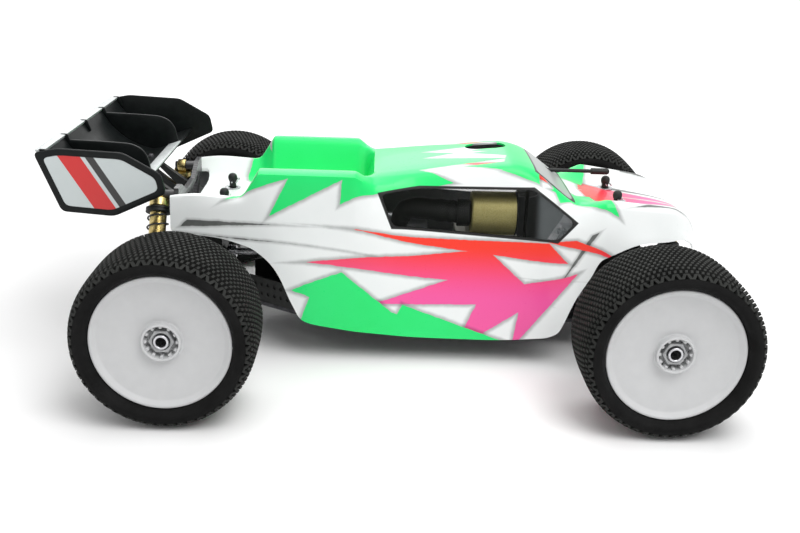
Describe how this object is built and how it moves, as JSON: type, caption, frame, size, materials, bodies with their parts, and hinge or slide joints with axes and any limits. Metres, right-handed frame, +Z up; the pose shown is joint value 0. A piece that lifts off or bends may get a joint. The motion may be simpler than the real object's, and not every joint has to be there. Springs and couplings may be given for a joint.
{
  "type": "radio-controlled off-road truck",
  "caption": "Radio-controlled off-road truck with sprung arms, steered front wheels, pinned tyres on dished rims, a painted clip-on shell and a rear wing.",
  "frame": {"origin": "on the ground, under the middle of the overall length and width", "axes": "+X to the front of the truck, +Y to its left, +Z up"},
  "size_m": [0.5503, 0.429, 0.1862],
  "materials": {
    "moulded_black": "moulded nylon, satin",
    "black_steel": "black oxide",
    "bright_steel": "turned",
    "gold_anodised": "gold anodised",
    "spring_black": "black coated wire",
    "white_rim": "moulded nylon, satin white",
    "tyre_rubber": "fine pinned tread",
    "grey_alloy": "machined",
    "dark_alloy": "dark anodised",
    "carbon_plate": "carbon fibre plate",
    "wing_black": "moulded nylon, gloss",
    "painted_shell": "clear shell painted inside in green, red, pink and white",
    "cast_alloy": "cast and machined",
    "filter_gold": "oiled foam",
    "tank_plastic": "milky nylon",
    "radio_black": "moulded case"
  },
  "bodies": {
    "chassis": {"chassis_plate": "dark_alloy", "plastic_guards": "moulded_black", "gearbox_cases": "moulded_black", "shock_towers": "carbon_plate", "wing": "wing_black", "wing_mounts": "moulded_black", "body_shell": "painted_shell", "body_posts": "moulded_black", "fasteners": "bright_steel", "engine": "cast_alloy", "air_filter": "filter_gold", "fuel_tank": "tank_plastic", "exhaust_pipe": "grey_alloy", "radio_gear": "radio_black", "antenna": "moulded_black"},
    "arm_front_left": {"lower_arm_front_left": "moulded_black"},
    "link_front_left": {"upper_link_front_left": "black_steel"},
    "shaft_front_left": {"drive_shaft_front_left": "bright_steel"},
    "shock_body_front_left": {"shock_body_front_left": "gold_anodised", "shock_spring_front_left": "spring_black"},
    "shock_shaft_front_left": {"shock_shaft_front_left": "bright_steel"},
    "carrier_front_left": {"caster_block_left": "moulded_black"},
    "wheel_front_left": {"wheel_front_left": "white_rim", "tyre_front_left": "tyre_rubber"},
    "knuckle_left": {"steering_knuckle_left": "grey_alloy"},
    "arm_front_right": {"lower_arm_front_right": "moulded_black"},
    "link_front_right": {"upper_link_front_right": "black_steel"},
    "shaft_front_right": {"drive_shaft_front_right": "bright_steel"},
    "shock_body_front_right": {"shock_body_front_right": "gold_anodised", "shock_spring_front_right": "spring_black"},
    "shock_shaft_front_right": {"shock_shaft_front_right": "bright_steel"},
    "carrier_front_right": {"caster_block_right": "moulded_black"},
    "wheel_front_right": {"wheel_front_right": "white_rim", "tyre_front_right": "tyre_rubber"},
    "knuckle_right": {"steering_knuckle_right": "grey_alloy"},
    "arm_rear_left": {"lower_arm_rear_left": "moulded_black"},
    "link_rear_left": {"upper_link_rear_left": "black_steel"},
    "shaft_rear_left": {"drive_shaft_rear_left": "bright_steel"},
    "shock_body_rear_left": {"shock_body_rear_left": "gold_anodised", "shock_spring_rear_left": "spring_black"},
    "shock_shaft_rear_left": {"shock_shaft_rear_left": "bright_steel"},
    "carrier_rear_left": {"hub_carrier_left": "moulded_black"},
    "wheel_rear_left": {"wheel_rear_left": "white_rim", "tyre_rear_left": "tyre_rubber"},
    "arm_rear_right": {"lower_arm_rear_right": "moulded_black"},
    "link_rear_right": {"upper_link_rear_right": "black_steel"},
    "shaft_rear_right": {"drive_shaft_rear_right": "bright_steel"},
    "shock_body_rear_right": {"shock_body_rear_right": "gold_anodised", "shock_spring_rear_right": "spring_black"},
    "shock_shaft_rear_right": {"shock_shaft_rear_right": "bright_steel"},
    "carrier_rear_right": {"hub_carrier_right": "moulded_black"},
    "wheel_rear_right": {"wheel_rear_right": "white_rim", "tyre_rear_right": "tyre_rubber"},
    "servo_saver": {"servo_saver": "moulded_black"},
    "idler_arm": {"idler_arm": "moulded_black"},
    "steering_plate": {"steering_plate": "grey_alloy"},
    "tie_rod_left": {"tie_rod_left": "black_steel"},
    "tie_rod_right": {"tie_rod_right": "black_steel"},
    "center_drive": {"center_drive": "bright_steel"},
    "clutch_bell": {"clutch_bell": "bright_steel"}
  },
  "joints": [
    {"name": "arm_front_left", "type": "hinge", "parent": "chassis", "child": "arm_front_left", "pos_m": [0.20715, 0.026, 0.044], "axis": [1, 0, 0], "range_deg": [-10, 14], "stiffness_Nm_per_rad": 8, "springref_deg": -4.3},
    {"name": "link_front_left", "type": "hinge", "parent": "chassis", "child": "link_front_left", "pos_m": [0.20715, 0.03, 0.088], "axis": [1, 0, 0], "range_deg": [-10.05, 14.05]},
    {"name": "shaft_front_left", "type": "hinge", "parent": "chassis", "child": "shaft_front_left", "pos_m": [0.20715, 0.03, 0.068], "axis": [1, 0, 0], "range_deg": [-10.05, 14.05]},
    {"name": "carrier_front_left", "type": "hinge", "parent": "arm_front_left", "child": "carrier_front_left", "pos_m": [0.20715, 0.136, 0.044], "axis": [1, 0, 0], "range_deg": [-14.05, 10.05]},
    {"name": "shock_body_front_left", "type": "hinge", "parent": "chassis", "child": "shock_body_front_left", "pos_m": [0.23715, 0.046, 0.112], "axis": [1, 0, 0], "range_deg": [-5.42, 7.57]},
    {"name": "shock_slide_front_left", "type": "slide", "parent": "shock_body_front_left", "child": "shock_shaft_front_left", "axis": [0, -0.6568, 0.7541], "range_m": [-0.01055, 0.01477], "deforming": ["shock_spring_front_left"]},
    {"name": "steer_left", "type": "hinge", "parent": "carrier_front_left", "child": "knuckle_left", "pos_m": [0.20715, 0.14, 0.068], "axis": [0, 0, 1], "range_deg": [-22, 22]},
    {"name": "wheel_front_left", "type": "hinge", "parent": "knuckle_left", "child": "wheel_front_left", "pos_m": [0.20715, 0.1775, 0.068], "axis": [0, 1, 0], "continuous": true},
    {"name": "arm_front_right", "type": "hinge", "parent": "chassis", "child": "arm_front_right", "pos_m": [0.20715, -0.026, 0.044], "axis": [-1, 0, 0], "range_deg": [-10, 14], "stiffness_Nm_per_rad": 8, "springref_deg": -4.3},
    {"name": "link_front_right", "type": "hinge", "parent": "chassis", "child": "link_front_right", "pos_m": [0.20715, -0.03, 0.088], "axis": [-1, 0, 0], "range_deg": [-10.05, 14.05]},
    {"name": "shaft_front_right", "type": "hinge", "parent": "chassis", "child": "shaft_front_right", "pos_m": [0.20715, -0.03, 0.068], "axis": [-1, 0, 0], "range_deg": [-10.05, 14.05]},
    {"name": "carrier_front_right", "type": "hinge", "parent": "arm_front_right", "child": "carrier_front_right", "pos_m": [0.20715, -0.136, 0.044], "axis": [-1, 0, 0], "range_deg": [-14.05, 10.05]},
    {"name": "shock_body_front_right", "type": "hinge", "parent": "chassis", "child": "shock_body_front_right", "pos_m": [0.23715, -0.046, 0.112], "axis": [-1, 0, 0], "range_deg": [-5.42, 7.57]},
    {"name": "shock_slide_front_right", "type": "slide", "parent": "shock_body_front_right", "child": "shock_shaft_front_right", "axis": [0, 0.6568, 0.7541], "range_m": [-0.01055, 0.01477], "deforming": ["shock_spring_front_right"]},
    {"name": "steer_right", "type": "hinge", "parent": "carrier_front_right", "child": "knuckle_right", "pos_m": [0.20715, -0.14, 0.068], "axis": [0, 0, 1], "range_deg": [-22.05, 22.05]},
    {"name": "wheel_front_right", "type": "hinge", "parent": "knuckle_right", "child": "wheel_front_right", "pos_m": [0.20715, -0.1775, 0.068], "axis": [0, 1, 0], "continuous": true},
    {"name": "arm_rear_left", "type": "hinge", "parent": "chassis", "child": "arm_rear_left", "pos_m": [-0.16485, 0.026, 0.044], "axis": [1, 0, 0], "range_deg": [-10, 14], "stiffness_Nm_per_rad": 8, "springref_deg": -4.3},
    {"name": "link_rear_left", "type": "hinge", "parent": "chassis", "child": "link_rear_left", "pos_m": [-0.16485, 0.03, 0.088], "axis": [1, 0, 0], "range_deg": [-10.05, 14.05]},
    {"name": "shaft_rear_left", "type": "hinge", "parent": "chassis", "child": "shaft_rear_left", "pos_m": [-0.16485, 0.03, 0.068], "axis": [1, 0, 0], "range_deg": [-10.05, 14.05]},
    {"name": "carrier_rear_left", "type": "hinge", "parent": "arm_rear_left", "child": "carrier_rear_left", "pos_m": [-0.16485, 0.136, 0.044], "axis": [1, 0, 0], "range_deg": [-14.05, 10.05]},
    {"name": "shock_body_rear_left", "type": "hinge", "parent": "chassis", "child": "shock_body_rear_left", "pos_m": [-0.19485, 0.05, 0.134], "axis": [1, 0, 0], "range_deg": [-3.32, 4.63]},
    {"name": "shock_slide_rear_left", "type": "slide", "parent": "shock_body_rear_left", "child": "shock_shaft_rear_left", "axis": [0, -0.5115, 0.8593], "range_m": [-0.01179, 0.01649], "deforming": ["shock_spring_rear_left"]},
    {"name": "wheel_rear_left", "type": "hinge", "parent": "carrier_rear_left", "child": "wheel_rear_left", "pos_m": [-0.16485, 0.1775, 0.068], "axis": [0, 1, 0], "continuous": true},
    {"name": "arm_rear_right", "type": "hinge", "parent": "chassis", "child": "arm_rear_right", "pos_m": [-0.16485, -0.026, 0.044], "axis": [-1, 0, 0], "range_deg": [-10, 14], "stiffness_Nm_per_rad": 8, "springref_deg": -4.3},
    {"name": "link_rear_right", "type": "hinge", "parent": "chassis", "child": "link_rear_right", "pos_m": [-0.16485, -0.03, 0.088], "axis": [-1, 0, 0], "range_deg": [-10.05, 14.05]},
    {"name": "shaft_rear_right", "type": "hinge", "parent": "chassis", "child": "shaft_rear_right", "pos_m": [-0.16485, -0.03, 0.068], "axis": [-1, 0, 0], "range_deg": [-10.05, 14.05]},
    {"name": "carrier_rear_right", "type": "hinge", "parent": "arm_rear_right", "child": "carrier_rear_right", "pos_m": [-0.16485, -0.136, 0.044], "axis": [-1, 0, 0], "range_deg": [-14.05, 10.05]},
    {"name": "shock_body_rear_right", "type": "hinge", "parent": "chassis", "child": "shock_body_rear_right", "pos_m": [-0.19485, -0.05, 0.134], "axis": [-1, 0, 0], "range_deg": [-3.32, 4.63]},
    {"name": "shock_slide_rear_right", "type": "slide", "parent": "shock_body_rear_right", "child": "shock_shaft_rear_right", "axis": [0, 0.5115, 0.8593], "range_m": [-0.01179, 0.01649], "deforming": ["shock_spring_rear_right"]},
    {"name": "wheel_rear_right", "type": "hinge", "parent": "carrier_rear_right", "child": "wheel_rear_right", "pos_m": [-0.16485, -0.1775, 0.068], "axis": [0, 1, 0], "continuous": true},
    {"name": "servo_saver", "type": "hinge", "parent": "chassis", "child": "servo_saver", "pos_m": [0.17415, 0.018, 0.055], "axis": [0, 0, 1], "range_deg": [-22.05, 22.05]},
    {"name": "idler_arm", "type": "hinge", "parent": "chassis", "child": "idler_arm", "pos_m": [0.17415, -0.018, 0.055], "axis": [0, 0, 1], "range_deg": [-22.05, 22.05]},
    {"name": "steering_plate", "type": "hinge", "parent": "servo_saver", "child": "steering_plate", "pos_m": [0.15015, 0.018, 0.057], "axis": [0, 0, 1], "range_deg": [-22.05, 22.05]},
    {"name": "tie_rod_left", "type": "hinge", "parent": "steering_plate", "child": "tie_rod_left", "pos_m": [0.15015, 0.03, 0.051], "axis": [1, 0, 0], "range_deg": [-10.05, 14.05]},
    {"name": "tie_rod_right", "type": "hinge", "parent": "steering_plate", "child": "tie_rod_right", "pos_m": [0.15015, -0.03, 0.051], "axis": [-1, 0, 0], "range_deg": [-10.05, 14.05]},
    {"name": "center_drive", "type": "hinge", "parent": "chassis", "child": "center_drive", "pos_m": [0.02115, 0, 0.068], "axis": [1, 0, 0], "continuous": true},
    {"name": "clutch_bell", "type": "hinge", "parent": "chassis", "child": "clutch_bell", "pos_m": [0.02115, -0.02628, 0.05282], "axis": [1, 0, 0], "continuous": true}
  ],
  "couplings": [
    {"joint": "link_front_left", "follows": "arm_front_left", "ratio": 1},
    {"joint": "shaft_front_left", "follows": "arm_front_left", "ratio": 1},
    {"joint": "carrier_front_left", "follows": "arm_front_left", "ratio": -1},
    {"joint": "shock_body_front_left", "follows": "arm_front_left", "ratio": 0.53727},
    {"joint": "shock_slide_front_left", "follows": "arm_front_left", "m_per_rad": 0.060351},
    {"joint": "link_front_right", "follows": "arm_front_right", "ratio": 1},
    {"joint": "shaft_front_right", "follows": "arm_front_right", "ratio": 1},
    {"joint": "carrier_front_right", "follows": "arm_front_right", "ratio": -1},
    {"joint": "shock_body_front_right", "follows": "arm_front_right", "ratio": 0.53727},
    {"joint": "shock_slide_front_right", "follows": "arm_front_right", "m_per_rad": 0.060351},
    {"joint": "steer_right", "follows": "steer_left", "ratio": 1},
    {"joint": "link_rear_left", "follows": "arm_rear_left", "ratio": 1},
    {"joint": "shaft_rear_left", "follows": "arm_rear_left", "ratio": 1},
    {"joint": "carrier_rear_left", "follows": "arm_rear_left", "ratio": -1},
    {"joint": "shock_body_rear_left", "follows": "arm_rear_left", "ratio": 0.32725},
    {"joint": "shock_slide_rear_left", "follows": "arm_rear_left", "m_per_rad": 0.067411},
    {"joint": "link_rear_right", "follows": "arm_rear_right", "ratio": 1},
    {"joint": "shaft_rear_right", "follows": "arm_rear_right", "ratio": 1},
    {"joint": "carrier_rear_right", "follows": "arm_rear_right", "ratio": -1},
    {"joint": "shock_body_rear_right", "follows": "arm_rear_right", "ratio": 0.32725},
    {"joint": "shock_slide_rear_right", "follows": "arm_rear_right", "m_per_rad": 0.067411},
    {"joint": "servo_saver", "follows": "steer_left", "ratio": 1},
    {"joint": "idler_arm", "follows": "steer_left", "ratio": 1},
    {"joint": "steering_plate", "follows": "steer_left", "ratio": -1},
    {"joint": "tie_rod_left", "follows": "arm_front_left", "ratio": 1},
    {"joint": "tie_rod_right", "follows": "arm_front_right", "ratio": 1},
    {"joint": "clutch_bell", "follows": "center_drive", "ratio": -3.2857}
  ]
}
